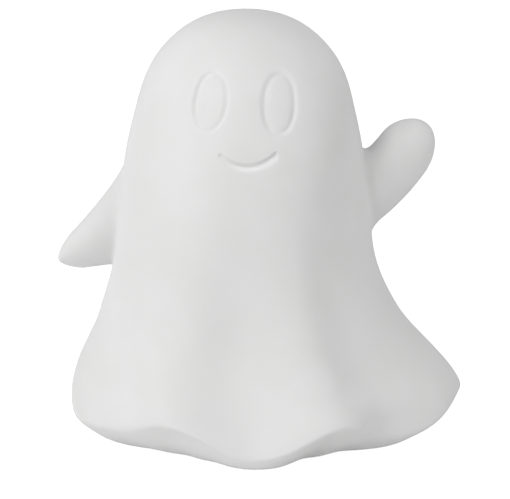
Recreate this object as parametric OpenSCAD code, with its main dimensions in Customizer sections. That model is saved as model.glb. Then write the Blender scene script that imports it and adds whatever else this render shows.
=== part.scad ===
// Ceramic ghost figure: a hollow slip-cast body whose robe turns under at a wavy hem, two hollow
// cast arms luted to its sides, and the fillets of slip that join them. Millimetres, Z up, the
// face looks along -Y. The origin is the centre of the pour hole, on the flat base.

/* [Body] */
// Height from the base to the crown
height = 140; // [130:1:160]
// Radius of the plain body at the base, without flare and folds
base_r = 45.3; // [40:0.1:50]
// Radius that the plain body's taper would reach at the crown's height
crown_r = 37.4; // [33:0.1:42]
// Height at which the sides begin to round over into the head
dome_start = 55; // [48:1:62]
// Swelling of the head beyond the plain body
head_swell = 1.5; // [0:0.1:2.5]
// Distance of the middle of that swelling below the crown
head_swell_drop = 13; // [8:0.5:20]
// Height above and below its middle over which the swelling fades out
head_swell_half = 22; // [16:0.5:26]
// Depth of the body from front to back, as a share of its width
depth_share = 0.95; // [0.85:0.01:1.05]
// Wall thickness of the casting, measured level
wall = 4.5; // [3.5:0.5:6]
// Thickness of the base
base_t = 5; // [4:0.5:7]

/* [Robe] */
// Reach of the flare that runs all round the robe
flare_reach = 5.6; // [0:0.1:8]
// Height at which the flare begins
flare_top = 40.5; // [30:0.5:50]
// Height at which the flare is complete
flare_full = 14; // [5:0.5:18]
// Reach of the largest fold beyond the plain body
fold_reach = 26.5; // [12:0.5:29]
// Height at which the tallest fold fades out
fold_top = 128; // [110:1:129]

/* [Hem] */
// Height of the hem's edge above the base where it is lowest
rim_low = 3.6; // [2:0.1:5]
// Rise of the hem's highest wave above that
rim_rise = 12.5; // [7:0.5:14]
// Rounding of the hem's edge at the front and back
rim_soft = 0.7; // [0.3:0.1:1.5]
// Extra rounding of the hem's edge at the sides
rim_side_soft = 0.8; // [0:0.1:3]
// Height above the edge over which that rounding fades out
rim_fade = 25; // [20:1:30]

/* [Pour hole] */
// Radius of the hole in the base that the slip is poured and drained through
pour_r = 8; // [5:0.5:11]
// Radius of the vent from each arm into the body
vent_r = 2; // [1.5:0.25:3]

/* [Face] */
// Distance of each eye's centre from the middle
eye_x = 10.5; // [9:0.1:13]
// Distance of the eyes' centres below the crown
eye_drop = 22.4; // [20:0.1:30]
// Half of an eye's width, to the middle of its groove
eye_half_w = 4.7; // [4:0.1:6.5]
// Half of an eye's height, to the middle of its groove
eye_half_h = 8.6; // [6:0.1:10]
// Distance of the smile's middle from the middle of the face
smile_x = 0.7; // [-2:0.1:3]
// Distance of the smile's lowest point below the crown
smile_drop = 41.4; // [37:0.1:46]
// Half of the smile's width
smile_half_w = 8.4; // [7:0.1:12]
// Rise of the smile's ends above its lowest point
smile_rise = 3.3; // [2:0.1:5]
// Radius of the tool that pressed the grooves
groove_r = 0.7; // [0.4:0.05:0.9]

/* [Raised arm] */
// Distance of the arm's end out from the body's side at that height
raised_end_out = 21.6; // [18:0.1:27]
// Distance of the arm's end below the crown
raised_end_drop = 38.4; // [32:0.1:44]
// Angle above the level at which the arm ends
raised_angle = 62; // [50:1:68]
// Angle by which the arm curls up from its root to its end
raised_curl_angle = 29; // [0:1:36]
// Half of the arm's width before its rounded end
raised_tip_r = 8.7; // [7.5:0.1:10]
// Half of the arm's width where it starts inside the body
raised_root_r = 9; // [8.5:0.1:11]
// Extra half width halfway along the arm
raised_belly = 1.1; // [0:0.1:2]
// Length over which the arm's end is rounded
raised_round = 12; // [8:0.5:14]
// Distance of the arm's middle behind the body's middle
raised_y = 12; // [6:0.5:13]
// Reach of the slip's fillet along the arm's upper side
raised_slip_top = 7.5; // [3:0.5:8.5]
// Reach of the fillet along the arm's front and back
raised_slip_side = 3; // [2:0.5:5]
// Reach of the fillet along the arm's underside
raised_slip_under = 4.5; // [2:0.5:6]

/* [Lowered arm] */
// Distance of the arm's end out from the body's side at that height
lowered_end_out = 17.6; // [14:0.1:22]
// Distance of the arm's end below the crown
lowered_end_drop = 84.5; // [78:0.1:87]
// Angle above the level at which the arm ends, less than zero on a drooping arm
lowered_angle = -26; // [-34:1:-20]
// Angle by which the arm curls up from its root to its end
lowered_curl_angle = 20; // [0:1:24]
// Half of the arm's width before its rounded end
lowered_tip_r = 3.7; // [3.5:0.1:6]
// Half of the arm's width where it starts inside the body
lowered_root_r = 18.1; // [14:0.1:19]
// Loss of half width halfway along the arm
lowered_waist = 0.2; // [0:0.1:1]
// Length over which the arm's end is rounded
lowered_round = 7.5; // [5:0.5:9]
// Distance of the arm's middle behind the body's middle
lowered_y = 11.5; // [5:0.5:12.5]
// Reach of the slip's fillet along the arm's upper side
lowered_slip_top = 9; // [4:0.5:10]
// Reach of the fillet along the arm's front and back
lowered_slip_side = 2.5; // [1.5:0.5:5]
// Reach of the fillet along the arm's underside
lowered_slip_under = 2.5; // [1.5:0.5:4]

/* [Arms] */
// Distance of the arms' roots from the body's middle, as a share of crown_r
arm_root_share = 0.74; // [0.68:0.01:0.8]
// Wall thickness of the arms
arm_wall = 2.2; // [1.8:0.1:2.5]
// Thickness at which the slip is wiped off along its edge on the arm
slip_edge = 0.3; // [0.2:0.05:0.5]

/* [Hidden] */

// The folds of the robe. Each row holds the angle at the hem, the turn of the fold towards its
// top, the reach as a share of fold_reach, the half width in degrees, and the heights at which
// the fold fades out and is complete, as shares of fold_top. Angles run from the front, with
// the raised arm's side positive. A fold with a reach below zero is a valley.
fold_shares = [
    [-83.7, -21.4, 0.248, 25.7, 0.53, 0.18],
    [36.4, 27.2, 0.383, 20.5, 0.69, 0.22],
    [94, 13.8, 1, 32.1, 0.51, -0.04],
    [-8.4, 28.1, -0.254, 20.6, 0.93, 0.11],
    [53.5, 16.8, -0.29, 18.1, 0.99, 0.53],
    [-15.2, 16.2, -0.04, 9.3, 0.91, 0.36],
    [-16.4, -22, 0.32, 14, 0.39, 0.02],
    [50.9, -15.5, -0.265, 13.9, 0.84, 0.25],
    [34.9, 11.4, 0.14, 13.9, 0.22, 0.12],
    [11.1, 11.7, -0.059, 12.7, 0.31, 0.22],
    [-140, 0, 0.377, 24, 0.56, 0.05],
    [150, 0, 0.34, 24, 0.55, 0.05],
    [182, 0, -0.151, 14, 0.62, 0.03]
];

// The waves of the hem. Each row holds the angle of a wave's top, its rise as a share of
// rim_rise, and its half width in degrees.
wave_shares = [
    [-35.6, 0.74, 22.2],
    [33.2, 1.05, 15.4],
    [-81.1, 0.26, 30.6],
    [89.7, 0.79, 15.4],
    [-45.2, -0.14, 9.8],
    [-24.4, 0.41, 12.6],
    [57.4, 0.08, 10.6],
    [180, 0.48, 18],
    [-115, 0.32, 16],
    [124, 0.32, 16]
];

// Where the hem turns in further or less far than under_share. Each row holds an angle, what is
// added to the share there, and its half width in degrees.
under_more_shares = [
    [-57.6, 0.4, 14.3],
    [-25.2, -0.15, 7.7],
    [62, 0.67, 11.6]
];

// Thickness of each arm from front to back, as a share of its width
raised_depth_share = 0.95;
lowered_depth_share = 0.7;
// Share of that thickness by which the arm is thicker above its middle and thinner below
raised_skew_share = 0.15;
lowered_skew_share = 0.25;
// Shares of the arms' lengths at which their hollows close
raised_hollow_share = 0.93;
lowered_hollow_share = 0.75;
// Reaches of the slip on the body above the arm, beside it and below it, as shares of its
// reaches along the arm
raised_slip_shares = [0.8, 0.5, 1];
lowered_slip_shares = [0.8, 0.4, 0.8];
// Least thickness of a hollow, as a share of the thickness of the arm round it
least_hollow_share = 0.1;
// Run inward of the turned-under hem for each unit of height, where under_more_shares adds none
under_share = 1.32;
// Powers of the rounded head's outline, up its height and across its width
dome_height_power = 3.05;
dome_width_power = 2.55;
// Heights of the rings from the base to just above the hem's edge, as shares of its height
turn_shares = [0, 0.35, 0.7, 1, 1.3, 1.7];
// Rings from there to dome_start, and from dome_start to the crown
wall_rings = 7;
dome_rings = 22;
// Points round the body's outside and inside
outer_sides = 96;
inner_sides = 48;
inner_wall_rings = 6;
inner_dome_rings = 12;
// Sections of an arm beyond its fillet and round its end, outside and inside
arm_rings = 5;
end_rings = 7;
inner_arm_rings = 5;
inner_end_rings = 5;
arm_sides = 32;
// Distances of the sections under the fillet out from the body, as shares of the fillet's reach
fillet_shares = [-0.6, -0.1, 0.2, 0.45, 0.7, 1];
// Columns of the body's skin on each side of an arm that trim it
wedge_columns = 15;
// Points along and round the grooves of the face
eye_points = 40;
smile_points = 16;
groove_sides = 6;
// Reach of every cut past the surface that it cuts
cut_over = 1;
clay = [0.93, 0.93, 0.92];

function clamp(t) = max(0, min(1, t));
function ease(t) = let(c = clamp(t)) c * c * (3 - 2 * c);
// 1 along the middle of a fold, one half at its half width and next to nothing beyond
function lobe(angle, half_width) = pow(0.5, (1 - cos(angle)) / (1 - cos(half_width)));

// Width of the rounded head below a crown, as a share of the width of the plain taper
function round_off(z, crown_z) =
    let(share = clamp((z - dome_start) / (crown_z - dome_start)))
    pow(max(0, 1 - pow(share, dome_height_power)), 1 / dome_width_power);

function plain_r(z, inset) =
    let(from_swell = abs(z - height + head_swell_drop))
    let(swell = head_swell * ease(1 - from_swell / head_swell_half))
    (crown_r - inset + swell + (base_r - crown_r) * (height - z) / height) * round_off(z, height - inset);

function fold(row, angle, z) =
    let(top = row[4] * fold_top)
    let(full = row[5] * fold_top)
    let(middle = row[0] + row[1] * (1 - clamp((top - z) / top)))
    row[2] * fold_reach * ease((top - z) / (top - full)) * lobe(angle - middle, row[3]);

function sum(list, i = 0) = i < len(list) ? list[i] + sum(list, i + 1) : 0;

// Radius of the draped robe, without the turned-under hem
function robe_r(angle, z, inset) =
    plain_r(z, inset)
    + flare_reach * ease((flare_top - z) / (flare_top - flare_full))
    + sum([for (row = fold_shares) fold(row, angle, z)]);

// Height of the hem's edge
function rim_z(angle) =
    rim_low + sum([for (row = wave_shares) row[1] * rim_rise * lobe(angle - row[0], row[2])]);

// Run inward of the turned-under hem for each unit of height, at an angle round the body
function turned_share(angle) =
    under_share + sum([for (row = under_more_shares) row[1] * lobe(angle - row[0], row[2])]);

// Radius of the skin: the smaller of robe and turned-under hem, rounded where they meet
function skin_r(angle, z, inset) =
    let(edge = rim_z(angle))
    let(outer = robe_r(angle, z, inset))
    let(under = robe_r(angle, edge, inset) - turned_share(angle) * (edge - z))
    let(fade = clamp((edge + rim_fade - z) / (rim_fade / 2)))
    let(soft = (rim_soft + rim_side_soft * pow(sin(angle), 2)) * fade)
    (outer + under) / 2 - sqrt(pow(outer - under, 2) / 4 + soft * soft);

function skin_point(angle, z, inset = 0) =
    let(r = skin_r(angle, z, inset))
    [r * sin(angle), -depth_share * r * cos(angle), z];

function dome_z(i, rings, top) = dome_start + (top - dome_start) * sin(90 * i / rings);

// Heights of the outside's rings at one angle, without the crown
function ring_heights(angle) =
    let(edge = rim_z(angle))
    let(start = turn_shares[len(turn_shares) - 1] * edge)
    concat(
        [for (share = turn_shares) share * edge],
        [for (i = [1 : wall_rings]) start + (dome_start - start) * i / wall_rings],
        [for (i = [1 : dome_rings - 1]) dome_z(i, dome_rings, height)]
    );

function inner_heights() =
    concat(
        [for (i = [0 : inner_wall_rings]) base_t + (dome_start - base_t) * i / inner_wall_rings],
        [for (i = [1 : inner_dome_rings - 1]) dome_z(i, inner_dome_rings, height - wall)]
    );

// Two triangles for each cell between rings of a grid, from ring first to ring last
function band_faces(sides, first, last) = [
    for (j = [first : last - 1], i = [0 : sides - 1])
        let(a = j * sides + i)
        let(b = j * sides + (i + 1) % sides)
        each [[a, b + sides, b], [a, a + sides, b + sides]]
];

// A fan of triangles from one point to a ring
function fan_faces(sides, ring, point, up) = [
    for (i = [0 : sides - 1])
        let(a = ring * sides + i)
        let(b = ring * sides + (i + 1) % sides)
        up ? [a, point, b] : [b, point, a]
];

// A closed solid from rings of points, with a point at each end
module ring_solid(rings, bottom, top) {
    sides = len(rings[0]);
    count = len(rings);
    points = concat([for (ring = rings) each ring], [bottom, top]);
    faces = concat(
        band_faces(sides, 0, count - 1),
        fan_faces(sides, 0, count * sides, false),
        fan_faces(sides, count - 1, count * sides + 1, true)
    );
    polyhedron(points = points, faces = faces, convexity = 8);
}

module body_outside() {
    heights = [for (i = [0 : outer_sides - 1]) ring_heights(360 * i / outer_sides)];
    rings = [
        for (j = [0 : len(heights[0]) - 1])
            [for (i = [0 : outer_sides - 1]) skin_point(360 * i / outer_sides, heights[i][j])]
    ];
    ring_solid(rings, [0, 0, 0], [0, 0, height]);
}

module body_inside() {
    rings = [
        for (z = inner_heights())
            [for (i = [0 : inner_sides - 1]) skin_point(360 * i / inner_sides, z, wall)]
    ];
    ring_solid(rings, [0, 0, base_t], [0, 0, height - wall]);
}

// Point on the face at a given distance from the middle and below the crown
function face_point(x, drop) =
    let(z = height - drop)
    skin_point(asin(x / plain_r(z, 0)), z);

function unit(v) = v / norm(v);

// A thin round tube along a path on the face, for cutting a groove
module groove(path, closed) {
    count = len(path);
    rings = [
        for (k = [0 : count - 1])
            let(before = path[closed ? (k + count - 1) % count : max(k - 1, 0)])
            let(after = path[closed ? (k + 1) % count : min(k + 1, count - 1)])
            let(along = unit(after - before))
            let(out = unit([path[k][0], path[k][1], 0]))
            let(side = unit(cross(out, along)))
            let(up = cross(along, side))
            [
                for (i = [0 : groove_sides - 1])
                    let(turn = 360 * i / groove_sides)
                    path[k] + groove_r * (side * cos(turn) + up * sin(turn))
            ]
    ];
    if (closed) {
        points = [for (ring = rings) each ring];
        faces = [
            for (k = [0 : count - 1], i = [0 : groove_sides - 1])
                let(a = k * groove_sides + i)
                let(b = k * groove_sides + (i + 1) % groove_sides)
                let(c = ((k + 1) % count) * groove_sides + i)
                let(d = ((k + 1) % count) * groove_sides + (i + 1) % groove_sides)
                each [[a, d, b], [a, c, d]]
        ];
        polyhedron(points = points, faces = faces, convexity = 4);
    } else {
        ring_solid(rings, path[0], path[count - 1]);
    }
}

module eye_groove(side) {
    path = [
        for (k = [0 : eye_points - 1])
            let(turn = 360 * k / eye_points)
            face_point(side * eye_x + eye_half_w * cos(turn), eye_drop - eye_half_h * sin(turn))
    ];
    groove(path, true);
}

module smile_groove() {
    path = [
        for (k = [0 : smile_points])
            let(share = 2 * k / smile_points - 1)
            face_point(smile_x + smile_half_w * share, smile_drop - smile_rise * share * share)
    ];
    groove(path, false);
}

// An arm is [side, [distance of its end from the middle, height of its end],
// [angle at its end, curl], [half width at its end, at its root, belly],
// length of its rounded end, distance behind the middle, [depth, skew and hollow shares],
// [reaches of its slip at its top, its sides and its underside], [the same on the body, as shares]].
raised_end_z = height - raised_end_drop;
raised_side = skin_r(90, raised_end_z, 0);
raised = [
    1,
    [raised_side + raised_end_out, raised_end_z],
    [raised_angle, raised_curl_angle],
    [raised_tip_r, raised_root_r, raised_belly],
    raised_round,
    raised_y,
    [raised_depth_share, raised_skew_share, raised_hollow_share],
    [raised_slip_top, raised_slip_side, raised_slip_under],
    raised_slip_shares
];
lowered_end_z = height - lowered_end_drop;
lowered_side = skin_r(-90, lowered_end_z, 0);
lowered = [
    -1,
    [lowered_side + lowered_end_out, lowered_end_z],
    [lowered_angle, lowered_curl_angle],
    [lowered_tip_r, lowered_root_r, -lowered_waist],
    lowered_round,
    lowered_y,
    [lowered_depth_share, lowered_skew_share, lowered_hollow_share],
    [lowered_slip_top, lowered_slip_side, lowered_slip_under],
    lowered_slip_shares
];

function side_of(arm) = arm[0];
function end_of(arm) = arm[1];
function angle_of(arm) = arm[2][0];
function curl_of(arm) = arm[2][1];
function widths_of(arm) = arm[3];
function round_of(arm) = arm[4];
function y_of(arm) = arm[5];
function depth_share_of(arm) = arm[6][0];
function skew_share_of(arm) = arm[6][1];
function hollow_share_of(arm) = arm[6][2];
function reaches_of(arm) = arm[7];
function slip_shares_of(arm) = arm[8];

// Distance from the middle at which the arms begin, inside the body
arm_root = crown_r * arm_root_share;

function arm_length(arm) = (end_of(arm)[0] - arm_root) / cos(angle_of(arm) - curl_of(arm) / 2);

// Half of an arm's width at a share of its length: a taper with a slight belly
function arm_half(arm, share) =
    let(widths = widths_of(arm))
    widths[0] + (widths[1] - widths[0]) * (1 - share) + widths[2] * sin(180 * share);

// Middle of an arm at a share of its length, as distance from the body's middle and height
function arm_middle(arm, share) =
    let(back = arm_length(arm) * (1 - share))
    let(angle = angle_of(arm) - curl_of(arm) * (1 - share) / 2)
    end_of(arm) - back * [cos(angle), sin(angle)];

// Share of the length taken by the rounded end
function round_share(arm) = round_of(arm) / arm_length(arm);

// Width that the rounded end leaves, as a share, when it closes at a share of the arm's length
function end_width(arm, share, closed_share) =
    let(into = clamp((share - closed_share) / round_share(arm) + 1))
    sqrt(1 - into * into);

// Point of an arm at a share of its length, grown beyond its surface. Its sections stand upright
// at the root, like the side of the body, and lean over until they are square to the arm's end.
function arm_point(arm, share, turn, grow = 0, closed_share = 1) =
    let(middle = arm_middle(arm, share))
    let(lean = angle_of(arm) * share)
    let(slant = angle_of(arm) - curl_of(arm) * (1 - share) - lean)
    let(half = arm_half(arm, share))
    let(plain_depth = half * depth_share_of(arm) * (1 + skew_share_of(arm) * cos(turn)))
    let(depth = max(plain_depth + grow, plain_depth * least_hollow_share))
    let(width = end_width(arm, share, closed_share))
    let(rise = width * (half / cos(slant) + grow) * cos(turn))
    [
        side_of(arm) * (middle[0] - rise * sin(lean)),
        y_of(arm) - side_of(arm) * width * depth * sin(turn),
        middle[1] + rise * cos(lean)
    ];

// Point on an arm's middle line
function arm_core(arm, share) =
    let(middle = arm_middle(arm, share))
    [side_of(arm) * middle[0], y_of(arm), middle[1]];

function arm_turns() = [for (i = [0 : arm_sides - 1]) 360 * i / arm_sides];

function arm_ring(arm, share, grow, closed_share) =
    [for (turn = arm_turns()) arm_point(arm, share, turn, grow, closed_share)];

// Rings of a rounded end, from just past its start to just short of where it closes
function round_rings(arm, count, grow, closed_share) = [
    for (k = [1 : count - 1])
        arm_ring(arm, closed_share - round_share(arm) * (1 - sin(90 * k / count)), grow, closed_share)
];

// Angle round the body of a point, from the front
function angle_round(p) = atan2(p[0], -p[1] / depth_share);

// Distance of a point outside the body's skin
function outside_by(p) = norm([p[0], p[1] / depth_share]) - skin_r(angle_round(p), p[2], 0);

// Share of an arm's length at which its side comes out of the body, found by halving
function contact_share(arm, turn, low = 0, high = 1, steps = 12) =
    let(middle = (low + high) / 2)
    let(out = outside_by(arm_point(arm, middle, turn)) > 0)
    steps == 0 ? middle
    : contact_share(arm, turn, out ? low : middle, out ? middle : high, steps - 1);

function arm_contacts(arm) = [for (turn = arm_turns()) contact_share(arm, turn)];

// A value that runs round an arm from one at its top through one at its sides to one underneath
function round_the_arm(values, turn) =
    let(far = cos(turn) > 0 ? values[0] : values[2])
    values[1] + (far - values[1]) * pow(cos(turn), 2);

// Reach of the slip along an arm, and on the body
function slip_reach(arm, turn) = round_the_arm(reaches_of(arm), turn);
function body_reach(arm, turn) = slip_reach(arm, turn) * round_the_arm(slip_shares_of(arm), turn);

// Shares of an arm's length at which its sides pass a share of the slip's reach
function reach_shares(arm, contacts, reach_share) = [
    for (i = [0 : arm_sides - 1])
        contacts[i] + slip_reach(arm, arm_turns()[i]) * reach_share / arm_length(arm)
];

// Section of an arm whose points lie at shares of the length of their own, each moved on by a
// share of what is left before the rounded end
function follow_ring(arm, starts, on_share) =
    let(stop = 1 - round_share(arm))
    [
        for (i = [0 : arm_sides - 1])
            arm_point(arm, starts[i] + (stop - starts[i]) * on_share, arm_turns()[i])
    ];

module arm_outside(arm) {
    contacts = arm_contacts(arm);
    past_slip = reach_shares(arm, contacts, 1);
    rings = concat(
        [arm_ring(arm, 0, 0, 1)],
        [for (share = fillet_shares) follow_ring(arm, reach_shares(arm, contacts, share), 0)],
        [for (k = [1 : arm_rings]) follow_ring(arm, past_slip, k / arm_rings)],
        round_rings(arm, end_rings, 0, 1)
    );
    ring_solid(rings, arm_core(arm, 0), arm_core(arm, 1));
}

module arm_inside(arm) {
    closed_share = hollow_share_of(arm);
    start = closed_share - round_share(arm);
    shares = [for (k = [0 : inner_arm_rings]) start * k / inner_arm_rings];
    rings = concat(
        [for (share = shares) arm_ring(arm, share, -arm_wall, closed_share)],
        round_rings(arm, inner_end_rings, -arm_wall, closed_share)
    );
    ring_solid(rings, arm_core(arm, 0), arm_core(arm, closed_share));
}

// The body behind one arm: a wedge from the middle out to the same skin as the body's outside,
// so that what it trims meets the body facet for facet
module side_wedge(side) {
    angles = [for (i = [-wedge_columns : wedge_columns]) side * 90 + 360 * i / outer_sides];
    heights = [for (angle = angles) ring_heights(angle)];
    first = len(turn_shares) - 1;
    last = len(heights[0]) - 2;
    rings = [
        for (j = [first : last])
            concat(
                [for (i = [0 : len(angles) - 1]) skin_point(angles[i], heights[i][j])],
                [[0, 0, heights[wedge_columns][j]]]
            )
    ];
    sides = len(angles) + 1;
    points = [for (ring = rings) each ring];
    count = len(rings);
    middle = sides - 1;
    faces = concat(
        band_faces(sides, 0, count - 1),
        [for (i = [0 : middle - 2]) [i + 1, middle, i]],
        [for (i = [0 : middle - 2]) let(a = (count - 1) * sides) [a + i, a + middle, a + i + 1]]
    );
    polyhedron(points = points, faces = faces, convexity = 6);
}

// Height at which an arm's middle meets the body's side
function vent_z(arm) =
    let(side_r = skin_r(side_of(arm) * 90, end_of(arm)[1], 0))
    let(share = (side_r - arm_root) / (end_of(arm)[0] - arm_root))
    arm_middle(arm, share)[1];

module vent(arm) {
    translate([0, y_of(arm), vent_z(arm)])
        rotate([0, side_of(arm) * 90, 0])
            cylinder(h = end_of(arm)[0], r = vent_r, $fn = 32);
}

module arm_casting(arm) {
    difference() {
        arm_outside(arm);
        arm_inside(arm);
        side_wedge(side_of(arm));
    }
}

// The skin's point at the same height and the same angle round the body as another point
function onto_skin(p) = skin_point(angle_round(p), p[2]);

// Point of the fillet's hollow: a curve from the body's skin to the arm that leaves both smoothly
function hollow_point(on_body, corner, on_arm, t) =
    pow(1 - t, 2) * on_body + 2 * t * (1 - t) * corner + t * t * on_arm;

// The fillet round an arm: outside its hollow, which starts inside the body, and inside the
// arm's own facets
module slip_fillet(arm) {
    contacts = arm_contacts(arm);
    past_slip = reach_shares(arm, contacts, 1);
    count = len(fillet_shares);
    columns = [
        for (i = [0 : arm_sides - 1])
            let(turn = arm_turns()[i])
            let(reach = body_reach(arm, turn))
            let(corner = arm_point(arm, contacts[i], turn, slip_edge))
            let(on_body = onto_skin(arm_point(arm, contacts[i], turn, reach)))
            let(on_arm = arm_point(arm, past_slip[i], turn, slip_edge))
            let(sunk = on_body - reach * unit([on_body[0], on_body[1], 0]))
            concat(
                [sunk],
                [for (k = [0 : count - 2]) hollow_point(on_body, corner, on_arm, k / (count - 2))]
            )
    ];
    outer = [for (k = [0 : count - 1]) [for (column = columns) column[k]]];
    inner = [for (share = fillet_shares) follow_ring(arm, reach_shares(arm, contacts, share), 0)];
    around = count * arm_sides;
    points = concat([for (ring = outer) each ring], [for (ring = inner) each ring]);
    sleeve = band_faces(arm_sides, 0, count - 1);
    lining = [for (face = sleeve) [face[2] + around, face[1] + around, face[0] + around]];
    ends = [
        for (i = [0 : arm_sides - 1])
            let(j = (i + 1) % arm_sides)
            let(top = (count - 1) * arm_sides)
            each [
                [j, around + j, i],
                [i, around + j, around + i],
                [top + i, top + around + j, top + j],
                [top + i, top + around + i, top + around + j]
            ]
    ];
    difference() {
        polyhedron(points = points, faces = concat(sleeve, lining, ends), convexity = 6);
        side_wedge(side_of(arm));
    }
}

module body_casting() {
    color(clay)
    difference() {
        body_outside();
        body_inside();
        translate([0, 0, -cut_over])
            cylinder(h = base_t + 2 * cut_over, r = pour_r, $fn = 64);
        vent(raised);
        vent(lowered);
        eye_groove(-1);
        eye_groove(1);
        smile_groove();
    }
}

module raised_arm() {
    color(clay)
    arm_casting(raised);
}

module lowered_arm() {
    color(clay)
    arm_casting(lowered);
}

module raised_arm_slip_joint() {
    color(clay)
    slip_fillet(raised);
}

module lowered_arm_slip_joint() {
    color(clay)
    slip_fillet(lowered);
}

body_casting();
raised_arm();
lowered_arm();
raised_arm_slip_joint();
lowered_arm_slip_joint();
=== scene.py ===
import math

import bpy
import numpy as np
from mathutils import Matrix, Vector


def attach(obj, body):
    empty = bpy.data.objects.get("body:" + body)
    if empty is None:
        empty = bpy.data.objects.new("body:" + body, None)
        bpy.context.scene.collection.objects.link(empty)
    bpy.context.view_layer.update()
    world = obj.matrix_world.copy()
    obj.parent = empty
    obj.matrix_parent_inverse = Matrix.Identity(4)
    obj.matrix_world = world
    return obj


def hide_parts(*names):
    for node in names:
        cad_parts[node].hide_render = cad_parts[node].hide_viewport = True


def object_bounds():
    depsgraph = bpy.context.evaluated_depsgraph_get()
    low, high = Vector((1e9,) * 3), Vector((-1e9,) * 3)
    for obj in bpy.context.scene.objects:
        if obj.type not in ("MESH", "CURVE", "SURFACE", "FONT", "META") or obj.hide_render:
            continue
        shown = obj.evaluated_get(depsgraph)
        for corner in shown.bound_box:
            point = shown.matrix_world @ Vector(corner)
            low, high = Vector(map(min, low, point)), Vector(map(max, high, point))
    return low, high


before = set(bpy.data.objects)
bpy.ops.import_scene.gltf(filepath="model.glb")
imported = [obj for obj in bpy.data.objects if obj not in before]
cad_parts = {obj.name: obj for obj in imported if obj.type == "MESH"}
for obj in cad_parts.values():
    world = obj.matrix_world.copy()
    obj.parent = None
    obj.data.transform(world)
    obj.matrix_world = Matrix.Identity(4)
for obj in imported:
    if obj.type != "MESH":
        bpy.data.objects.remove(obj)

CAD_BOX = [list(corner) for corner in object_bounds()]

# The skin, the arms and the face are worked out here in the source's own millimetres, and go
# into Blender's metres only when a mesh is made. Angles are degrees from the front, with the
# raised arm's side positive.
MM = 0.001

# Body, with its height from the frame
HEIGHT = round(CAD_BOX[1][2] / MM, 2)
BASE_R = 45.3
CROWN_R = 37.4
DOME_START = 55.0
DEPTH_SHARE = 0.95
WALL = 4.5
BASE_T = 5.0
DOME_HEIGHT_POWER = 3.05
DOME_WIDTH_POWER = 2.55
HEAD_SWELL = 1.5
HEAD_SWELL_Z = HEIGHT - 13.0
HEAD_SWELL_HALF = 22.0

# Robe. Each fold is [angle at the base, turn from there to its top, reach, half width, top,
# full], with its reach as a share of FOLD_REACH. Its top, and the height below which it has its
# full reach, are shares of FOLD_TOP.
FLARE_REACH = 5.6
FLARE_TOP = 40.5
FLARE_FULL = 14.0
FOLD_REACH = 26.5
FOLD_TOP = 128.0
FOLDS = (
    (-83.7, -21.4, 0.248, 25.7, 0.53, 0.18),
    (36.4, 27.2, 0.383, 20.5, 0.69, 0.22),
    (94.0, 13.8, 1.0, 32.1, 0.51, -0.04),
    (-8.4, 28.1, -0.254, 20.6, 0.93, 0.11),
    (53.5, 16.8, -0.29, 18.1, 0.99, 0.53),
    (-15.2, 16.2, -0.04, 9.3, 0.91, 0.36),
    (-16.4, -22.0, 0.32, 14.0, 0.39, 0.02),
    (50.9, -15.5, -0.265, 13.9, 0.84, 0.25),
    (34.9, 11.4, 0.14, 13.9, 0.22, 0.12),
    (11.1, 11.7, -0.059, 12.7, 0.31, 0.22),
    (-140.0, 0.0, 0.377, 24.0, 0.56, 0.05),
    (150.0, 0.0, 0.34, 24.0, 0.55, 0.05),
    (182.0, 0.0, -0.151, 14.0, 0.62, 0.03),
)

# Hem. Its edge is rounded, more so at the sides, and the rounding fades out over RIM_FADE above
# it. Each wave is [angle of its top, rise, half width], with its rise as a share of RIM_RISE.
RIM_LOW = 3.6
RIM_RISE = 12.5
RIM_SOFT = 0.7
RIM_SIDE_SOFT = 0.8
RIM_FADE = 25.0
WAVES = (
    (-35.6, 0.74, 22.2),
    (33.2, 1.05, 15.4),
    (-81.1, 0.26, 30.6),
    (89.7, 0.79, 15.4),
    (-45.2, -0.14, 9.8),
    (-24.4, 0.41, 12.6),
    (57.4, 0.08, 10.6),
    (180.0, 0.48, 18.0),
    (-115.0, 0.32, 16.0),
    (124.0, 0.32, 16.0),
)

# Underside of the hem. It turns in by UNDER_SHARE for each millimetre below the edge, and each
# slope is [angle, what it adds to that share there, half width].
UNDER_SHARE = 1.32
SLOPES = (
    (-57.6, 0.40, 14.3),
    (-25.2, -0.15, 7.7),
    (62.0, 0.67, 11.6),
)

# Foot: the rounding of its edge, and how far inside that the flat base's first ring lies
FOOT_ROUND = 2.5
FOOT_LAND = 1.0

# Pour hole
POUR_R = 8.0
POUR_ROUND = 0.7

# Least length that a direction is worked out from
TINY = 1e-9


def clamp(values):
    return np.clip(values, 0.0, 1.0)


def ease(values):
    c = clamp(values)
    return c * c * (3.0 - 2.0 * c)


def lobe(angle, half_width):
    """1 along the middle of a fold, one half at its half width and next to nothing beyond."""
    return 0.5 ** ((1.0 - np.cos(np.radians(angle))) / (1.0 - math.cos(math.radians(half_width))))


def unit(vectors):
    return vectors / np.maximum(np.linalg.norm(vectors, axis=-1, keepdims=True), TINY)


# Skin

def round_off(z, top=HEIGHT):
    """Width of the rounded head as a share of the plain taper's width."""
    share = clamp((z - DOME_START) / (top - DOME_START))
    return np.maximum(0.0, 1.0 - share**DOME_HEIGHT_POWER) ** (1.0 / DOME_WIDTH_POWER)


def plain_r(z, inset=0.0):
    """Radius of the plain body: a taper with a slightly swollen, rounded head."""
    swell = HEAD_SWELL * ease(1.0 - np.abs(z - HEAD_SWELL_Z) / HEAD_SWELL_HALF)
    taper = CROWN_R - inset + swell + (BASE_R - CROWN_R) * (HEIGHT - z) / HEIGHT
    return taper * round_off(z, HEIGHT - inset)


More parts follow.
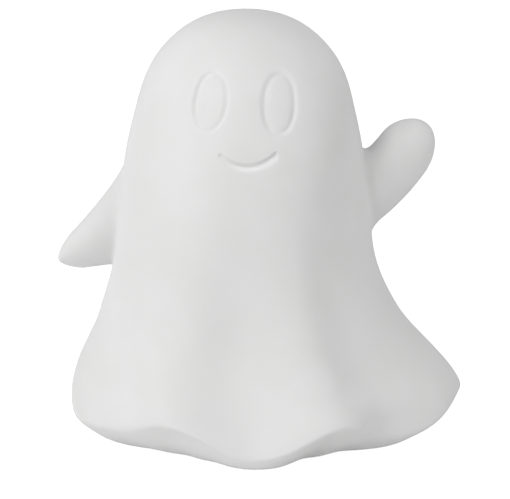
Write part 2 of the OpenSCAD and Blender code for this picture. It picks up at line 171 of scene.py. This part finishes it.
def fold(row, angle, z):
    """How far one fold stands out from the plain body, or in where it is a hollow."""
    at_base, turn, reach, half_width, top_share, full_share = row
    top = top_share * FOLD_TOP
    full = full_share * FOLD_TOP
    middle = at_base + turn * (1.0 - clamp((top - z) / top))
    return reach * FOLD_REACH * ease((top - z) / (top - full)) * lobe(angle - middle, half_width)


def robe_r(angle, z, inset=0.0):
    """Radius of the draped robe, without the turned-under hem."""
    flare = FLARE_REACH * ease((FLARE_TOP - z) / (FLARE_TOP - FLARE_FULL))
    return plain_r(z, inset) + flare + sum(fold(row, angle, z) for row in FOLDS)


def rim_z(angle):
    """Height of the hem's edge."""
    return RIM_LOW + sum(rise * RIM_RISE * lobe(angle - at, half) for at, rise, half in WAVES)


def under_share(angle):
    """How far the hem turns in for each millimetre below its edge."""
    return UNDER_SHARE + sum(extra * lobe(angle - at, half) for at, extra, half in SLOPES)


def skin_r(angle, z, inset=0.0):
    """Radius of the skin: the smaller of robe and turned-under hem, rounded where they meet."""
    edge = rim_z(angle)
    outer = robe_r(angle, z, inset)
    under = robe_r(angle, edge, inset) - under_share(angle) * (edge - z)
    fade = clamp((edge + RIM_FADE - z) / (RIM_FADE / 2.0))
    soft = (RIM_SOFT + RIM_SIDE_SOFT * np.sin(np.radians(angle)) ** 2) * fade
    return (outer + under) / 2.0 - np.sqrt((outer - under) ** 2 / 4.0 + soft * soft)


def on_skin(angle, z, inset=0.0):
    """Points of the skin, last axis x, y, z."""
    r = skin_r(angle, z, inset)
    turn = np.radians(angle)
    x, y, z = np.broadcast_arrays(r * np.sin(turn), -DEPTH_SHARE * r * np.cos(turn), z)
    return np.stack([x, y, z], axis=-1)


def skin_angle(points):
    return np.degrees(np.arctan2(points[..., 0], -points[..., 1] / DEPTH_SHARE))


def skin_distance(points):
    """Distance of points outside the skin, measured level."""
    flat = np.hypot(points[..., 0], points[..., 1] / DEPTH_SHARE)
    return flat - skin_r(skin_angle(points), points[..., 2])


# Face: pressed lines, as depths over the front of the head

# Least level and slope in an eye, so that nothing there is divided by zero
LEAST_LEVEL = 1e-6


class Eye:
    """An oval pressed line round slightly sunk clay.

    power is 2 for an ellipse and more for a squarer oval, and lean its shift to the side for each
    millimetre up. depth is the line's, outer the widths of its outer wall at the left and at the
    right, and inner the width of its inner wall. recess is how far the clay inside is sunk, and
    swell how far its middle rises again. Each faint place is [angle clockwise from the top, share
    of the line that is lost, half width], and a share below zero makes the line deeper.
    """

    def __init__(self, x, z, half_w, half_h, power, lean, depth, outer, inner, recess, swell,
                 faint):
        self.x = x
        self.z = z
        self.half_w = half_w
        self.half_h = half_h
        self.power = power
        self.lean = lean
        self.depth = depth
        self.outer = outer
        self.inner = inner
        self.recess = recess
        self.swell = swell
        self.faint = faint

    def level_at(self, dx, dz):
        """Level of points, 1 on the oval and 0 at its middle, and their distance outside it."""
        across, up, power = np.abs(dx) / self.half_w, np.abs(dz) / self.half_h, self.power
        level = np.maximum((across**power + up**power) ** (1.0 / power), LEAST_LEVEL)
        across_slope = (across / level) ** (power - 1.0) / self.half_w
        up_slope = (up / level) ** (power - 1.0) / self.half_h
        slope = np.hypot(across_slope, up_slope)
        return level, (level - 1.0) / np.maximum(slope, LEAST_LEVEL)

    def depth_at(self, x, z):
        """How far the eye presses in the face at each place."""
        dz = z - self.z
        dx = x - self.x - self.lean * dz
        level, offset = self.level_at(dx, dz)
        turn = np.degrees(np.arctan2(dx / self.half_w, dz / self.half_h))
        strength = 1.0 - sum(share * lobe(turn - at, half) for at, share, half in self.faint)
        left, right = self.outer
        outer = (left + right) / 2 - (left - right) / 2 * np.sin(np.radians(turn))
        wall = np.exp(-((np.maximum(offset, 0.0) / outer) ** 2))
        ridge = np.exp(-((np.minimum(offset, 0.0) / self.inner) ** 2))
        line = (self.depth - self.recess) * strength * wall * ridge
        return self.recess * wall + line - self.swell * clamp(1.0 - level**2)


EYES = (
    Eye(x=-10.8, z=HEIGHT - 22.4, half_w=4.9, half_h=8.3, power=2.1, lean=0.12, depth=0.55,
        outer=(0.45, 0.7), inner=0.8, recess=0.1, swell=0.1,
        faint=((35.0, 0.6, 30.0), (190.0, 0.7, 20.0), (-70.0, -1.1, 50.0))),
    Eye(x=10.5, z=HEIGHT - 23.0, half_w=4.7, half_h=8.4, power=2.2, lean=0.0, depth=0.8,
        outer=(1.1, 0.6), inner=1.0, recess=0.45, swell=0.35, faint=((195.0, 1.0, 18.0),)),
)

# Smile: its lowest point, size and depth, the widths of its upper and lower walls, the share that
# is lost at its left end, and where it is full, as a place from -1 at that end to 1 at the other
SMILE_X = 0.7
SMILE_Z = HEIGHT - 41.25
SMILE_HALF_W = 8.4
SMILE_RISE = 3.15
SMILE_DEPTH = 1.2
SMILE_UPPER = 0.6
SMILE_LOWER = 1.1
SMILE_FAINT = 0.68
SMILE_FULL = -0.2

# Dimple at the smile's left end, and the place and half width of the band below the smile where a
# highlight is painted on the clay
DIMPLE_DEPTH = 0.9
DIMPLE_R = 0.6
HIGHLIGHT_DROP = 0.9
HIGHLIGHT_HALF = 0.75


def smile_place(x, z):
    """Place along the smile, -1 to 1 within it, distance past its ends and distance above it."""
    along = (x - SMILE_X) / SMILE_HALF_W
    inside = np.clip(along, -1.0, 1.0)
    near_z = SMILE_Z + SMILE_RISE * inside**2
    lean = 2.0 * SMILE_RISE * inside / SMILE_HALF_W
    past = (along - inside) * SMILE_HALF_W
    return along, past, (z - near_z) / np.sqrt(1.0 + lean**2)


def smile_strength(along):
    """The smile is faint at its left end, and full from a little left of its middle on."""
    return 1.0 - SMILE_FAINT * (1.0 - ease((along + 1.0) / (SMILE_FULL + 1.0)))


def smile_depth(x, z):
    """A pressed line with a steep upper wall, and a dimple at its left end."""
    along, past, across = smile_place(x, z)
    width = np.where(across > 0, SMILE_UPPER, SMILE_LOWER)
    profile = np.exp(-((across / width) ** 2) - (past / SMILE_UPPER) ** 2)
    line = SMILE_DEPTH * smile_strength(along) * profile
    far = np.hypot(x - SMILE_X + SMILE_HALF_W, z - SMILE_Z - SMILE_RISE)
    return np.maximum(line, DIMPLE_DEPTH * np.exp(-((far / DIMPLE_R) ** 2)))


def smile_painted_highlight(points):
    """How much of the highlight painted below the smile each point has, 0 to 1."""
    along, past, across = smile_place(points[..., 0], points[..., 2])
    band = np.exp(-(((across + HIGHLIGHT_DROP) / HIGHLIGHT_HALF) ** 2) - (past / HIGHLIGHT_HALF) ** 2)
    return np.where(points[..., 1] < 0.0, band * smile_strength(along) ** 2, 0.0)


def face_depth(points):
    """How far the face is pressed in at points of the skin."""
    x, y, z = points[..., 0], points[..., 1], points[..., 2]
    return np.where(y < 0.0, sum(eye.depth_at(x, z) for eye in EYES) + smile_depth(x, z), 0.0)


# Meshes

def make_object(name, points, faces):
    """A smooth mesh in the scene, from points in millimetres."""
    mesh = bpy.data.meshes.new(name)
    mesh.from_pydata((np.asarray(points) * MM).tolist(), [], faces)
    mesh.validate()
    mesh.polygons.foreach_set("use_smooth", [True] * len(mesh.polygons))
    mesh.update()
    obj = bpy.data.objects.new(name, mesh)
    bpy.context.scene.collection.objects.link(obj)
    return obj


def ring_faces(rows, columns):
    """Quads between neighbouring rings, each closed on itself."""
    faces = []
    for j in range(rows - 1):
        for i in range(columns):
            a = j * columns + i
            b = j * columns + (i + 1) % columns
            faces.append((a, b, b + columns, a + columns))
    return faces


def capped_rings(name, rings, start, end):
    """A closed solid from rings of points, with one point at each end."""
    rings = np.asarray(rings)
    rows, columns = rings.shape[:2]
    points = np.concatenate([rings.reshape(-1, 3), [start, end]])
    faces = ring_faces(rows, columns)
    last = (rows - 1) * columns
    for i in range(columns):
        faces.append(((i + 1) % columns, i, rows * columns))
        faces.append((last + i, last + (i + 1) % columns, rows * columns + 1))
    return make_object(name, points, faces)


def looped_rings(name, rings):
    """A closed solid from rings of points, whose last ring meets the first."""
    rows, columns = rings.shape[:2]
    faces = ring_faces(rows, columns)
    last = (rows - 1) * columns
    for i in range(columns):
        j = (i + 1) % columns
        faces.append((last + i, last + j, j, i))
    return make_object(name, rings.reshape(-1, 3), faces)


def grid_normals(points):
    """Outward normals of a grid of rings, rows from low to high."""
    across = np.roll(points, -1, axis=1) - np.roll(points, 1, axis=1)
    up = np.gradient(points, axis=0)
    return unit(np.cross(across, up))


def level_ring(radius, z, columns):
    turn = np.radians(columns)
    return np.stack([radius * np.sin(turn), -radius * np.cos(turn), np.full_like(turn, z)], axis=-1)


# Body. Its points stand in columns, close together over the face, and in rings. Those below the
# hem's edge are at shares of its height, those just above it so many millimetres higher. Turns
# are degrees round the cavity's top and round the edges of the pour hole.

FACE_HALF_ANGLE = 33.0
FACE_COLUMN_STEP = 0.3
OTHER_COLUMNS = 208
FACE_LOW = 96.0
FACE_HIGH = 128.0
UNDER_SHARES = (0.0, 0.02, 0.06, 0.12, 0.2, 0.32, 0.46, 0.6, 0.73, 0.84, 0.92, 0.97)
EDGE_RISES = (0.0, 0.3, 0.7, 1.2, 1.8, 2.6, 3.6, 5.0, 7.0)
ROBE_ROWS = 38
ROBE_ROW_POWER = 1.2
FACE_ROWS = 124
DOME_ROWS = 22
CAVITY_WALL_ROWS = 9
CAVITY_DOME_ROWS = 11
CAVITY_DOME_TURNS = (7.5, 82.5)
HOLE_TOP_TURNS = (90.0, 45.0, 0.0)
HOLE_LOW_TURNS = (90.0, 60.0, 30.0, 0.0)


def body_columns():
    """Angles of the body's columns of points."""
    face = np.arange(-FACE_HALF_ANGLE, FACE_HALF_ANGLE, FACE_COLUMN_STEP)
    rest = np.linspace(FACE_HALF_ANGLE, 360.0 - FACE_HALF_ANGLE, OTHER_COLUMNS)[:-1]
    return np.concatenate([face, rest])


def dome_heights():
    """Heights of the rings over the head, whose widths fall in even steps."""
    start = float(round_off(FACE_HIGH))
    widths = [start * (1.0 - k / DOME_ROWS) for k in range(1, DOME_ROWS)]
    shares = [(1.0 - w**DOME_WIDTH_POWER) ** (1.0 / DOME_HEIGHT_POWER) for w in widths]
    return [DOME_START + (HEIGHT - DOME_START) * share for share in shares]


def outer_heights(edge):
    """Heights of the rings up the outside, for columns whose hem edge is at the given heights."""
    under = [share * edge for share in UNDER_SHARES]
    above = [edge + rise for rise in EDGE_RISES]
    top = above[-1]
    climbs = [(k / ROBE_ROWS) ** ROBE_ROW_POWER for k in range(1, ROBE_ROWS)]
    robe = [top + (FACE_LOW - top) * climb for climb in climbs]
    level = np.ones_like(edge)
    face = [level * z for z in np.linspace(FACE_LOW, FACE_HIGH, FACE_ROWS)]
    dome = [level * z for z in dome_heights()]
    return np.stack(under + above + robe + face + dome)


def foot_inset(z):
    """How far the rounding of the foot's edge draws the skin in."""
    below = clamp(1.0 - z / FOOT_ROUND)
    return FOOT_ROUND * (1.0 - np.sqrt(1.0 - below**2))


def outer_rings(columns):
    """Rings from the flat base out to the foot's edge, and up the outside with its face."""
    heights = outer_heights(rim_z(columns))
    skin = on_skin(columns[None, :], heights)
    skin = skin - grid_normals(skin) * face_depth(skin)[..., None]
    outward = unit(skin * [1.0, 1.0, 0.0])
    skin = skin - outward * foot_inset(heights)[..., None]
    foot = skin[0] - outward[0] * FOOT_LAND
    return [foot] + list(skin)


def hole_rings(columns):
    """Rings down through the pour hole, rounded over at the cavity's floor and at the base."""
    rings = []
    for turn in np.radians(HOLE_TOP_TURNS):
        out = POUR_ROUND * (1 - math.cos(turn))
        rings.append(level_ring(POUR_R + out, BASE_T - POUR_ROUND * (1 - math.sin(turn)), columns))
    for turn in np.radians(HOLE_LOW_TURNS):
        out = POUR_ROUND * (1 - math.sin(turn))
        rings.append(level_ring(POUR_R + out, POUR_ROUND * (1 - math.cos(turn)), columns))
    return rings


def cavity_rings(columns):
    """Rings down the inside of the wall to the floor."""
    climbs = np.sin(np.radians(np.linspace(*CAVITY_DOME_TURNS, CAVITY_DOME_ROWS)))
    dome = DOME_START + (HEIGHT - WALL - DOME_START) * climbs
    heights = np.concatenate([np.linspace(BASE_T, DOME_START, CAVITY_WALL_ROWS), dome])
    return [on_skin(columns, np.full_like(columns, z), WALL) for z in heights[::-1]]


def body():
    """The hollow body, with an attribute that marks where a highlight is painted below the smile."""
    columns = body_columns()
    rings = cavity_rings(columns) + hole_rings(columns) + outer_rings(columns)
    ghost = capped_rings("ghost_body", rings, [0, 0, HEIGHT - WALL], [0, 0, HEIGHT])
    points = np.array([vertex.co for vertex in ghost.data.vertices]) / MM
    # Marks where a highlight is painted below the smile
    lip = ghost.data.attributes.new("lip", "FLOAT", "POINT")
    lip.data.foreach_set("value", smile_painted_highlight(points).astype(np.float32))
    return ghost


# Arms. They start at ARM_ROOT from the body's middle, and their castings ARM_SUNK under its skin.

ARM_ROOT = 0.74 * CROWN_R
ARM_SIDES = 120
ARM_ROWS = 40
CAP_ROWS = 20
ARM_SUNK = 2.5
CONTACT_HALVINGS = 30


class Arm:
    """One cast arm: its middle line, its sections and the line where it leaves the skin.

    side is 1 on the raised arm's side and -1 on the other. y is how far the arm sits behind the
    body's middle, and end_out and end_z place its end, out from the skin and above the base.
    angle is its angle above the level there, which is curl more than at its root. root_r and
    tip_r are half widths, belly is the extra half width halfway along, and cap the length of the
    rounded end. depth_share is the depth as a share of the width, and skew makes the upper half
    deeper and the lower half shallower. slip is the reach of the slip joint along the arm, and
    slip_shares its reach over the body as shares of that, each at the arm's top, sides and
    underside.
    """

    def __init__(self, name, side, y, end_out, end_z, angle, curl, root_r, tip_r, belly, cap,
                 depth_share, skew, slip, slip_shares):
        self.name = name
        self.side = side
        self.y = y
        self.end = (float(skin_r(side * 90.0, end_z)) + end_out, end_z)
        self.angle = angle
        self.curl = curl
        self.root_r = root_r
        self.tip_r = tip_r
        self.belly = belly
        self.depth_share = depth_share
        self.skew = skew
        self.slip = slip
        self.slip_shares = slip_shares
        self.length = (self.end[0] - ARM_ROOT) / math.cos(math.radians(angle - curl / 2))
        self.cap_share = cap / self.length

    def half(self, share):
        """Half of the arm's width: a taper with a slight belly."""
        taper = self.tip_r + (self.root_r - self.tip_r) * (1 - share)
        return taper + self.belly * np.sin(np.pi * clamp(share))

    def middle(self, share):
        """Place of the middle line, out from the body's middle and up."""
        back = self.length * (1 - share)
        angle = np.radians(self.angle - self.curl * (1 - share) / 2)
        return self.end[0] - back * np.cos(angle), self.end[1] - back * np.sin(angle)

    def point(self, share, turn, grow=0.0):
        """Sections stand upright at the root and lean to square with the arm at its end."""
        lean = np.radians(self.angle * share)
        slant = np.radians(self.angle - self.curl * (1 - share)) - lean
        half = self.half(share)
        into_cap = clamp((share - 1 + self.cap_share) / self.cap_share)
        width = np.sqrt(np.maximum(0.0, 1 - into_cap**2))
        rise = width * (half / np.cos(slant) + grow) * np.cos(turn)
        depth = width * (half * self.depth_share * (1 + self.skew * np.cos(turn)) + grow)
        out, up = self.middle(share)
        x = self.side * (out - rise * np.sin(lean))
        y = self.y - self.side * depth * np.sin(turn)
        return np.stack(np.broadcast_arrays(x, y, up + rise * np.cos(lean)), axis=-1)

    def contacts(self, turn):
        """Share of the length at which each side comes out of the body, found by halving."""
        low = np.zeros_like(turn)
        high = np.full_like(turn, 1 - self.cap_share)
        for _ in range(CONTACT_HALVINGS):
            middle = (low + high) / 2
            out = skin_distance(self.point(middle, turn)) > 0
            low = np.where(out, low, middle)
            high = np.where(out, middle, high)
        return (low + high) / 2


RAISED = Arm("raised_arm", 1, y=12.0, end_out=21.6, end_z=HEIGHT - 38.4, angle=62.0, curl=29.0,
             root_r=9.0, tip_r=8.7, belly=0.9, cap=12.0, depth_share=0.95, skew=0.15,
             slip=(10.0, 3.0, 4.5), slip_shares=(0.8, 0.5, 1.0))
LOWERED = Arm("lowered_arm", -1, y=11.5, end_out=17.8, end_z=HEIGHT - 84.9, angle=-26.0, curl=20.0,
              root_r=18.1, tip_r=3.7, belly=0.0, cap=7.5, depth_share=0.7, skew=0.25,
              slip=(9.0, 2.5, 2.5), slip_shares=(0.8, 0.4, 0.8))


def arm_turns():
    return np.linspace(0.0, 2 * np.pi, ARM_SIDES, endpoint=False)


def arm_casting(arm):
    """The arm from just under the skin to its rounded end."""
    turn = arm_turns()
    start = arm.contacts(turn) - ARM_SUNK / arm.length
    cap = 1 - arm.cap_share
    rings = [arm.point(start + (cap - start) * k / ARM_ROWS, turn) for k in range(ARM_ROWS + 1)]
    climbs = [math.sin(math.pi / 2 * k / CAP_ROWS) for k in range(1, CAP_ROWS)]
    rings += [arm.point(cap + arm.cap_share * climb, turn) for climb in climbs]
    root = rings[0].mean(axis=0)
    end = arm.point(1.0, turn[:1])[0]
    if arm.side > 0:
        rings = [ring[::-1] for ring in rings]
    return capped_rings(arm.name + "_cast", rings, root, end)


# Slip joints. A tail is [distance past the joint's edge, depth under the surface there], and
# carries the edge a little way under the skin and into the arm. The steps along the skin are in
# degrees and millimetres, those along the arm in shares of its length and in radians.

SLIP_STEPS = 16
SLIP_PULL = 0.62
SLIP_TAILS = ((0.35, 0.01), (0.8, 0.06))
SLIP_INSIDE = 0.8
SKIN_STEPS = (0.5, 0.3)
ARM_STEPS = (0.01, -0.02)


def round_the_arm(values, turn):
    """A value that runs from one at the arm's top through one at its sides to one underneath."""
    top, side, under = values
    up = np.cos(turn)
    return side + (top - side) * np.maximum(up, 0) ** 2 + (under - side) * np.maximum(-up, 0) ** 2


def surface(point_at, u, v, steps):
    """Point, outward normal and first direction of a surface, from steps along u and v."""
    here = point_at(u, v)
    along = unit(point_at(u + steps[0], v) - here)
    across = point_at(u, v + steps[1]) - here
    return here, unit(np.cross(along, across)), along


def slip_pull(corner, edge):
    """How far the joint's curve follows a surface from its edge before it turns away."""
    return SLIP_PULL * np.linalg.norm(corner - edge, axis=1, keepdims=True)


def curve_point(start, near_start, near_end, end, t):
    """Point of a cubic Bezier curve, 0 at its start and 1 at its end."""
    s = 1 - t
    return s**3 * start + 3 * s * s * t * near_start + 3 * s * t * t * near_end + t**3 * end


def slip_rings(arm):
    """Rings from under the skin over the hollow face into the arm, and one inside the corner."""
    turn = arm_turns()
    contact = arm.contacts(turn)
    reach = round_the_arm(arm.slip, turn)
    corner = arm.point(contact, turn)
    beside = arm.point(contact, turn, reach * round_the_arm(arm.slip_shares, turn))
    on_body, body_out, _ = surface(on_skin, skin_angle(beside), beside[:, 2], SKIN_STEPS)
    on_arm, arm_out, arm_along = surface(arm.point, contact + reach / arm.length, turn, ARM_STEPS)
    to_corner = corner - on_body
    level = (to_corner * body_out).sum(axis=1, keepdims=True)
    body_along = unit(to_corner - level * body_out)
    near_body = on_body + body_along * slip_pull(corner, on_body)
    near_arm = on_arm - arm_along * slip_pull(corner, on_arm)
    under_skin = [on_body - body_along * out - body_out * sunk for out, sunk in SLIP_TAILS[::-1]]
    hollow = [
        curve_point(on_body, near_body, near_arm, on_arm, k / SLIP_STEPS)
        for k in range(SLIP_STEPS + 1)
    ]
    in_arm = [on_arm + arm_along * out - arm_out * sunk for out, sunk in SLIP_TAILS]
    inside = corner - (body_out + arm_out) * SLIP_INSIDE
    return np.stack(under_skin + hollow + in_arm + [inside])


def slip_joint(arm):
    """The hollow of the slip, whose curves leave the body and the arm along their surfaces."""
    rings = slip_rings(arm)
    if arm.side < 0:
        rings = rings[::-1]
    return looped_rings(arm.name + "_slip", rings)


# Bisque: matt off-white clay with faint clouds of tint and shallow sponge marks. A noise is
# [scale for a metre, detail, roughness].

CLAY_IOR = 1.45
CLAY_SPECULAR = 0.15
CLAY_DIFFUSE_ROUGHNESS = 0.6
CLAY_ROUGHNESS = (0.8, 0.92)
CLAY_TINTS = ((0.785, 0.785, 0.78, 1.0), (0.82, 0.82, 0.82, 1.0))
# Painted highlight: the paler colour laid below the smile, standing in for light on its
# upward-facing wall
PAINTED_HIGHLIGHT_TINT = (0.86, 0.86, 0.86, 1.0)
CLOUD_NOISE = (45.0, 3.0, 0.5)
SPONGE_NOISE = (420.0, 4.0, 0.55)
NOISE_SPAN = (0.3, 0.7)
SPONGE_BUMP = 0.25
SPONGE_DEPTH = 0.1 * MM


def noise(tree, place, seed, scale, detail, roughness):
    """A noise over the piece's own coordinates, different for each seed."""
    node = tree.nodes.new("ShaderNodeTexNoise")
    node.noise_dimensions = "4D"
    node.inputs["W"].default_value = seed
    node.inputs["Scale"].default_value = scale
    node.inputs["Detail"].default_value = detail
    node.inputs["Roughness"].default_value = roughness
    tree.links.new(place.outputs["Object"], node.inputs["Vector"])
    return node.outputs[0]


def spread(tree, value, low, high):
    """A noise's usual span, spread over the span from low to high."""
    node = tree.nodes.new("ShaderNodeMapRange")
    node.inputs["From Min"].default_value = NOISE_SPAN[0]
    node.inputs["From Max"].default_value = NOISE_SPAN[1]
    node.inputs["To Min"].default_value = low
    node.inputs["To Max"].default_value = high
    tree.links.new(value, node.inputs["Value"])
    return node.outputs[0]


def colour_mix(tree, share):
    """A mix of two colours by a share that comes from another node."""
    node = tree.nodes.new("ShaderNodeMix")
    node.data_type = "RGBA"
    tree.links.new(share, node.inputs["Factor"])
    return node


def clay_colour(tree, cloud):
    """Clouds of two tints, with a highlight painted paler where the body's attribute says so."""
    tint = colour_mix(tree, spread(tree, cloud, 0.0, 1.0))
    tint.inputs["A"].default_value, tint.inputs["B"].default_value = CLAY_TINTS
    # The paler colour below the smile is a painted highlight
    lip = tree.nodes.new("ShaderNodeAttribute")
    lip.attribute_name = "lip"
    highlighted = colour_mix(tree, lip.outputs["Fac"])
    highlighted.inputs["B"].default_value = PAINTED_HIGHLIGHT_TINT
    tree.links.new(tint.outputs["Result"], highlighted.inputs["A"])
    return highlighted.outputs["Result"]


def sponge_marks(tree, sponge):
    """The skin's normal, roughened a little by the sponge."""
    node = tree.nodes.new("ShaderNodeBump")
    node.inputs["Strength"].default_value = SPONGE_BUMP
    node.inputs["Distance"].default_value = SPONGE_DEPTH
    tree.links.new(sponge, node.inputs["Height"])
    return node.outputs["Normal"]


def bisque(name, seed):
    """The clay of one piece, with clouds and marks of its own for each seed."""
    material = bpy.data.materials.new(name)
    material.use_nodes = True
    tree = material.node_tree
    shader = tree.nodes["Principled BSDF"]
    shader.inputs["Metallic"].default_value = 0.0
    shader.inputs["IOR"].default_value = CLAY_IOR
    shader.inputs["Specular IOR Level"].default_value = CLAY_SPECULAR
    shader.inputs["Diffuse Roughness"].default_value = CLAY_DIFFUSE_ROUGHNESS
    place = tree.nodes.new("ShaderNodeTexCoord")
    cloud = noise(tree, place, seed, *CLOUD_NOISE)
    sponge = noise(tree, place, seed, *SPONGE_NOISE)
    tree.links.new(clay_colour(tree, cloud), shader.inputs["Base Color"])
    tree.links.new(spread(tree, sponge, *CLAY_ROUGHNESS), shader.inputs["Roughness"])
    tree.links.new(sponge_marks(tree, sponge), shader.inputs["Normal"])
    return material


# Pieces

BODY_SEED = 1.0
ARM_SEEDS = ((RAISED, 2.0), (LOWERED, 3.0))
SLIP_SEED_STEP = 5.0


def dress(piece, node, material):
    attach(piece, "root")
    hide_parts(node)
    piece.data.materials.append(material)


dress(body(), "body_casting", bisque("body_bisque", BODY_SEED))
for arm, seed in ARM_SEEDS:
    dress(arm_casting(arm), arm.name, bisque(arm.name + "_bisque", seed))
    slip_clay = bisque(arm.name + "_slip", seed + SLIP_SEED_STEP)
    dress(slip_joint(arm), arm.name + "_slip_joint", slip_clay)


# Floor: places in millimetres, how much of the light each floor returns, and its own glow

FLOOR_Z = -0.02
FLOOR_GAP = 0.05
FLOOR_HALF = 4000.0
FLOOR_WHITE = 0.8
FLOOR_GLOW = 0.85
BOUNCE_GREY = 0.8
BOUNCE_GLOW = 0.03
WHITE = (1.0, 1.0, 1.0, 1.0)


def stage_plane(name, z, half):
    points = [(-half, -half, z), (half, -half, z), (half, half, z), (-half, half, z)]
    plane = make_object(name, points, [(0, 1, 2, 3)])
    return plane


def floor_material(name, albedo, glow):
    material = bpy.data.materials.new(name)
    material.use_nodes = True
    shader = material.node_tree.nodes["Principled BSDF"]
    shader.inputs["Base Color"].default_value = (albedo, albedo, albedo, 1.0)
    shader.inputs["Roughness"].default_value = 1.0
    shader.inputs["Specular IOR Level"].default_value = 0.0
    shader.inputs["Emission Color"].default_value = WHITE
    shader.inputs["Emission Strength"].default_value = glow
    return material


def lay_floor():
    """The floor that is seen, which glows white, and just under it the one that lights the piece."""
    seen = stage_plane("floor", FLOOR_Z, FLOOR_HALF)
    seen.data.materials.append(floor_material("floor_white", FLOOR_WHITE, FLOOR_GLOW))
    seen.visible_diffuse = False
    seen.visible_glossy = False
    seen.visible_shadow = False
    bounce = stage_plane("floor_bounce", FLOOR_Z - FLOOR_GAP, FLOOR_HALF)
    bounce.data.materials.append(floor_material("floor_grey", BOUNCE_GREY, BOUNCE_GLOW))
    bounce.visible_camera = False


def hang_backdrop():
    """A pale world that only the camera sees, as bright as the floor's glow."""
    world = bpy.data.worlds.new("studio")
    world.use_nodes = True
    world.node_tree.nodes["Background"].inputs["Color"].default_value = WHITE
    world.node_tree.nodes["Background"].inputs["Strength"].default_value = FLOOR_GLOW
    bpy.context.scene.world = world
    world.cycles_visibility.diffuse = False
    world.cycles_visibility.glossy = False
    world.cycles_visibility.transmission = False
    world.cycles_visibility.scatter = False


# Lamps, in metres and watts, round the point that they and the camera look at. Left and right
# are the viewer's.

LAMPS = (
    # name, azimuth from the front, elevation, size, watts
    ("left_front_low", -25.0, 10.0, 0.6, 1.76),
    ("left_level", -45.0, 0.0, 1.0, 12.25),
    ("left_high", -45.0, 60.0, 1.0, 8.87),
    ("left_low", -65.0, 10.0, 1.0, 1.25),
    ("left_side", -90.0, 10.0, 1.0, 4.75),
    ("right_front_low", 20.0, 10.0, 1.0, 1.39),
    ("right_low", 40.0, 20.0, 1.0, 4.25),
    ("right_high", 40.0, 50.0, 1.0, 3.26),
    ("front_high", 5.0, 60.0, 1.0, 1.25),
    ("right_side", 95.0, 10.0, 1.0, 5.54),
    ("back", 180.0, 8.0, 1.0, 6.00),
)
LAMP_DISTANCE = 1.6
AIM = Vector((0.0, 0.0, 0.065))


def area_lamp(name, azimuth, elevation, size, watts):
    data = bpy.data.lights.new(name, "AREA")
    data.shape = "DISK"
    data.size = size
    data.energy = watts
    lamp = bpy.data.objects.new(name, data)
    turn, climb = math.radians(azimuth), math.radians(elevation)
    level = math.cos(climb)
    way = Vector((math.sin(turn) * level, -math.cos(turn) * level, math.sin(climb)))
    lamp.location = AIM + way * LAMP_DISTANCE
    lamp.rotation_euler = way.to_track_quat("Z", "Y").to_euler()
    bpy.context.scene.collection.objects.link(lamp)


# Camera: its distance in metres, its angle above the level, the sensor's width in millimetres,
# and the photograph's width, focal length and shift of the middle in pixels

CAMERA_DISTANCE = 0.85
CAMERA_CLIMB = math.radians(16.21)
SENSOR = 36.0
FRAME_W = 510.0
FOCAL_PX = 2641.6
SHIFT_X_PX = 9.28
SHIFT_Y_PX = -8.60


def place_camera():
    data = bpy.data.cameras.new("camera")
    data.sensor_width = SENSOR
    data.lens = FOCAL_PX / FRAME_W * SENSOR
    data.shift_x = SHIFT_X_PX / FRAME_W
    data.shift_y = SHIFT_Y_PX / FRAME_W
    camera = bpy.data.objects.new("camera", data)
    way = Vector((0.0, -math.cos(CAMERA_CLIMB), math.sin(CAMERA_CLIMB)))
    camera.location = AIM + way * CAMERA_DISTANCE
    camera.rotation_euler = way.to_track_quat("Z", "Y").to_euler()
    bpy.context.scene.collection.objects.link(camera)
    bpy.context.scene.camera = camera


lay_floor()
for row in LAMPS:
    area_lamp(*row)
hang_backdrop()
bpy.context.scene.view_settings.view_transform = "Standard"
place_camera()
